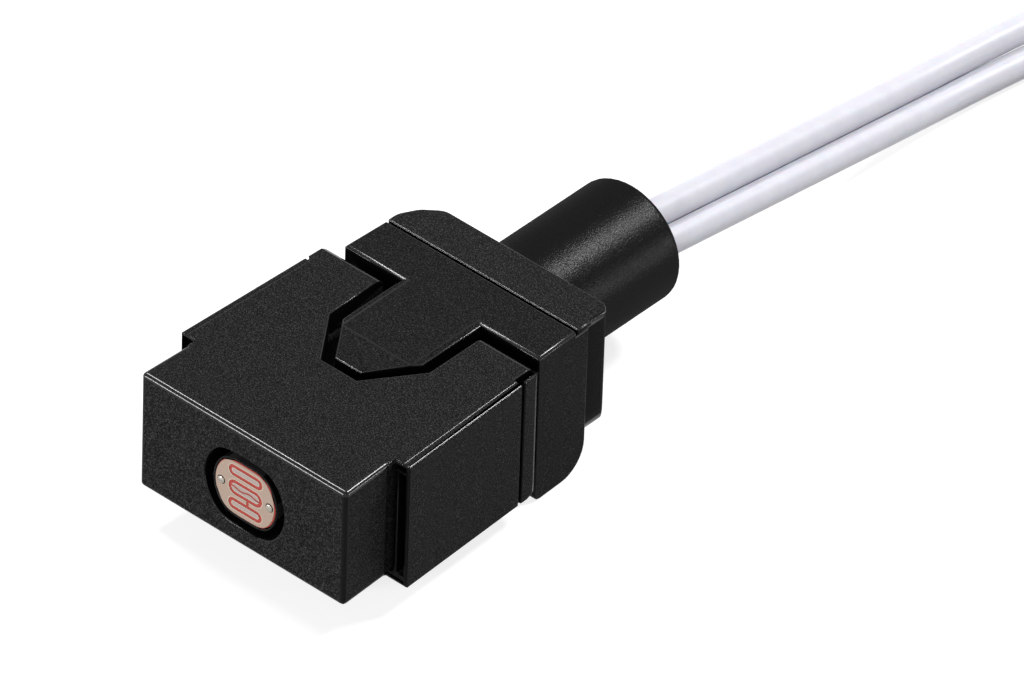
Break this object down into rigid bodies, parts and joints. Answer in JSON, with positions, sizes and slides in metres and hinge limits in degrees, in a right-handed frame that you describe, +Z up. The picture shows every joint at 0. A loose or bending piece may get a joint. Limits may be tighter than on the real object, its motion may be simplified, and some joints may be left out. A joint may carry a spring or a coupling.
{
  "type": "ambient light sensor with two-wire lead",
  "caption": "Moulded light sensor head with a recessed photocell in its front, a snap-in rear body, a round cable sleeve and a two-wire lead with bare tinned ends.",
  "frame": {"origin": "under the middle of the housing and sleeve, on the plane that the rear body's sole rests on", "axes": "+Y runs from the photocell's face to the lead, +Z is up through the latch tongue, +X is to the right seen from behind"},
  "size_m": [0.0363, 0.0982, 0.0116],
  "materials": {
    "housing_plastic": "black moulded plastic with a fine spark-eroded grain",
    "sleeve_rubber": "smooth satin black rubber",
    "cell_case": "glossy black resin",
    "ceramic": "matt off-white ceramic",
    "photoconductor": "brick red photoconductive layer under clear resin",
    "electrode_film": "pink-beige metal film under clear resin",
    "electrode_finger": "pale metal film under clear resin",
    "tinned_copper": "bright tinned copper",
    "crimp_brass": "plain rolled brass",
    "insulating_tube": "black shrunk tube",
    "conductor_copper": "bare stranded copper",
    "wire_insulation": "smooth white insulation with a faint lavender cast"
  },
  "bodies": {
    "root": {"head_housing": "housing_plastic", "rear_body": "housing_plastic", "rear_cover": "housing_plastic", "cable_sleeve": "sleeve_rubber", "photocell_case": "cell_case", "photocell_ceramic": "ceramic", "photoconductive_layer": "photoconductor", "electrode_film": "electrode_film", "electrode_finger_upper": "electrode_finger", "electrode_finger_middle_upper": "electrode_finger", "electrode_finger_middle_lower": "electrode_finger", "electrode_finger_lower": "electrode_finger", "left_photocell_lead": "tinned_copper", "right_photocell_lead": "tinned_copper", "left_splice": "crimp_brass", "right_splice": "crimp_brass", "left_insulating_tube": "insulating_tube", "right_insulating_tube": "insulating_tube", "left_conductor": "conductor_copper", "right_conductor": "conductor_copper", "left_inner_wire": "wire_insulation", "right_inner_wire": "wire_insulation", "left_wire": "wire_insulation", "right_wire": "wire_insulation", "left_tinned_end": "tinned_copper", "right_tinned_end": "tinned_copper"}
  },
  "joints": []
}
